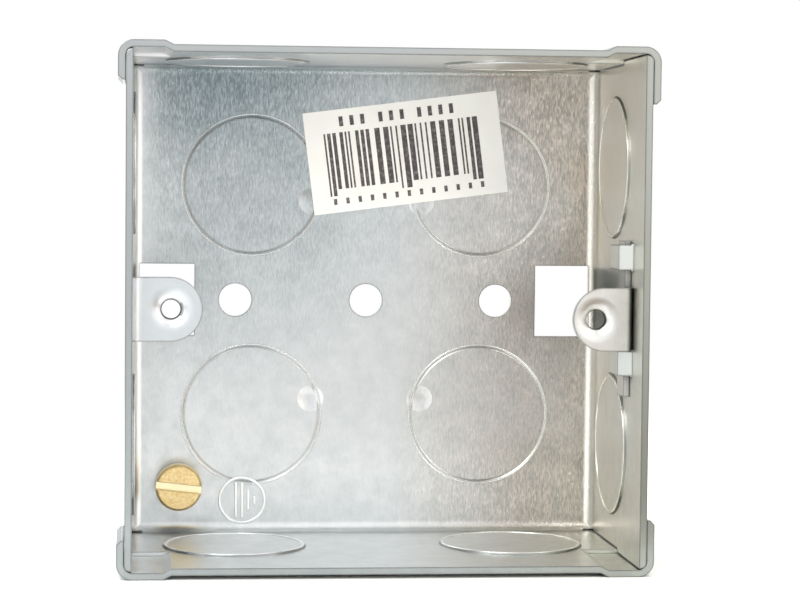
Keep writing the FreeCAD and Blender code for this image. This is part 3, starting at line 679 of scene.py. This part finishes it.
# whether a ray shows the surround itself: a camera, transmission or glossy ray
def shownRay(tree):
    seen = addNode(tree, "LightPath")
    direct = addNode(tree, "Math", {"operation": "MAXIMUM"},
                     {0: seen.outputs["Is Camera Ray"], 1: seen.outputs["Is Transmission Ray"]}).outputs[0]
    return addNode(tree, "Math", {"operation": "MAXIMUM"},
                   {0: direct, 1: seen.outputs["Is Glossy Ray"]}).outputs[0]


def buildStudio():
    s = studio
    material, tree, shader, place = newMaterial("studioFloor")
    shader.inputs["Base Color"].default_value = linear(s["floorColour"])
    shader.inputs["Roughness"].default_value = s["floorRoughness"]
    shader.inputs["Specular IOR Level"].default_value = s["floorGloss"]
    distance = addNode(tree, "VectorMath", {"operation": "LENGTH"}, {0: place}).outputs["Value"]
    away = addNode(tree, "MapRange", {"From Min": s["whiteFrom"], "From Max": s["whiteAt"]},
                   {0: distance}).outputs[0]
    share = addNode(tree, "Math", times, {0: away, 1: shownRay(tree)}).outputs[0]
    white = addNode(tree, "Emission", {"Color": (1, 1, 1, 1), "Strength": 1.0}).outputs[0]
    surface = addNode(tree, "MixShader", links={0: share, 1: shader.outputs[0], 2: white}).outputs[0]
    tree.links.new(surface, tree.nodes["Material Output"].inputs["Surface"])
    half = s["floorSize"] / 2
    mesh = bpy.data.meshes.new("studioFloor")
    corners = [(-half, -half, 0), (half, -half, 0), (half, half, 0), (-half, half, 0)]
    mesh.from_pydata(corners, [], [(0, 1, 2, 3)])
    mesh.materials.append(material)
    floor = bpy.data.objects.new("studioFloor", mesh)
    bpy.context.scene.collection.objects.link(floor)

    world = bpy.data.worlds.new("studioWorld")
    bpy.context.scene.world = world
    world.use_nodes = True
    tree = world.node_tree
    background = tree.nodes["Background"]
    strength = addNode(tree, "MapRange", {"To Min": s["worldStrength"], "To Max": 1.0}, {0: shownRay(tree)})
    background.inputs["Color"].default_value = (1, 1, 1, 1)
    tree.links.new(strength.outputs[0], background.inputs["Strength"])


# Soft lamps, all turned towards the middle of the box: places and sizes in metres, powers in watts.
lamps = {
    "keyLamp": {"place": (-0.5, -0.7, 0.75), "size": (0.6, 0.6), "power": 7.0, "colour": "FFFFFF"},
    "fillLamp": {"place": (0.6, -0.8, 0.35), "size": (0.5, 0.5), "power": 4.0, "colour": "FFF3E4"},
    "overheadLamp": {"place": (0.0, 0.15, 1.0), "size": (0.8, 0.8), "power": 6.0, "colour": "FFFFFF"},
}

# Cards that only the metal's reflections see: they shape them and light nothing. A card is turned towards
# the middle of the box unless a direction is given. The window cards are dark sheets behind the windows, a
# painted dark reflection that the metal beside each window mirrors, and the floor cards shade the lower half
# of the base.
cards = {
    "floorCard": {"place": (0.0, -0.17, 0.001), "towards": (0, 0, 1), "size": (0.06, 0.22),
                  "colour": "E6E6E4", "strength": 1.0},
    "floorWarmCard": {"place": (0.085, -0.15, 0.001), "towards": (0, 0, 1), "size": (0.11, 0.22),
                      "colour": "AFA092", "strength": 1.0},
    "brightCard": {"place": (0.335, -0.355, 0.12), "size": (0.40, 0.36), "colour": "FFFFFF",
                   "strength": 1.25},
    "leftBrightCard": {"place": (-0.30, -0.36, 0.12), "size": (0.34, 0.36), "colour": "FFFFFF",
                       "strength": 1.3},
    "leftWindowCard": {"place": (-30.35 * mm, floorY + 0.9 * mm, middleZ), "towards": (0, -1, 0),
                       "size": (7.8 * mm, 10.3 * mm), "colour": "2E3432", "strength": 1.0},
    "rightWindowCard": {"place": (30.35 * mm, floorY + 0.9 * mm, middleZ), "towards": (0, -1, 0),
                        "size": (7.8 * mm, 10.3 * mm), "colour": "2E3432", "strength": 1.0},
    "leftEdgeCard": {"place": (-0.5, 0.0, 0.1), "size": (0.4, 0.5), "colour": "4A4E54", "strength": 1.0},
    "rightEdgeCard": {"place": (0.5, 0.1, 0.1), "size": (0.3, 0.5), "colour": "3A3D52", "strength": 1.0},
    "overheadCard": {"place": (0.0, 0.1, 0.6), "size": (0.5, 0.4), "colour": "4A4E54", "strength": 1.0},
}
target = Vector((0, 0, middleZ))


# a rectangular area lamp, turned towards the target
def addLamp(name, s):
    lamp = bpy.data.lights.new(name, "AREA")
    lamp.shape = "RECTANGLE"
    lamp.size, lamp.size_y = s["size"]
    lamp.energy = s["power"]
    lamp.color = linear(s["colour"])[:3]
    thing = bpy.data.objects.new(name, lamp)
    thing.location = s["place"]
    thing.rotation_euler = (target - Vector(s["place"])).to_track_quat("-Z", "Y").to_euler()
    bpy.context.scene.collection.objects.link(thing)


# a glowing rectangle that camera, diffuse, shadow and transmission rays don't see
def addCard(name, s):
    w, h = s["size"][0] / 2, s["size"][1] / 2
    towards = Vector(s["towards"]) if "towards" in s else target - Vector(s["place"])
    turn = towards.to_track_quat("-Z", "Y").to_matrix().to_4x4()
    mesh = bpy.data.meshes.new(name)
    mesh.from_pydata([(-w, -h, 0), (w, -h, 0), (w, h, 0), (-w, h, 0)], [], [(0, 1, 2, 3)])
    mesh.transform(Matrix.Translation(s["place"]) @ turn)
    material = bpy.data.materials.new(name)
    material.use_nodes = True
    tree = material.node_tree
    tree.nodes.remove(tree.nodes["Principled BSDF"])
    glow = addNode(tree, "Emission", {"Color": linear(s["colour"]), "Strength": s["strength"]}).outputs[0]
    tree.links.new(glow, tree.nodes["Material Output"].inputs["Surface"])
    mesh.materials.append(material)
    card = bpy.data.objects.new(name, mesh)
    bpy.context.scene.collection.objects.link(card)
    for ray in ("camera", "diffuse", "shadow", "transmission", "volume_scatter"):
        setattr(card, "visible_" + ray, False)


buildStudio()
for name, lamp in lamps.items():
    addLamp(name, lamp)
for name, card in cards.items():
    addCard(name, card)
print("studio is lit")


# Camera at the photograph's place. The shift only recentres the frame as the photograph was cropped.
view = {
    "place": (-0.03475, -0.32722, 0.05391),
    "turn": (87.249, -0.504, -5.151),   # degrees about X, Y, Z
    "lens": 101.6,                      # mm
    "sensor": 36.0,                     # mm
    "shift": (0.0722, -0.0016),
    "nearest": 0.01,                    # metres
}
cameraData = bpy.data.cameras.new("photoCamera")
cameraData.lens = view["lens"]
cameraData.sensor_width = view["sensor"]
cameraData.shift_x, cameraData.shift_y = view["shift"]
cameraData.clip_start = view["nearest"]
camera = bpy.data.objects.new("photoCamera", cameraData)
camera.location = view["place"]
camera.rotation_euler = [math.radians(a) for a in view["turn"]]
bpy.context.scene.collection.objects.link(camera)
bpy.context.scene.camera = camera
bpy.context.scene.view_settings.view_transform = "Standard"

print("scene is whole")
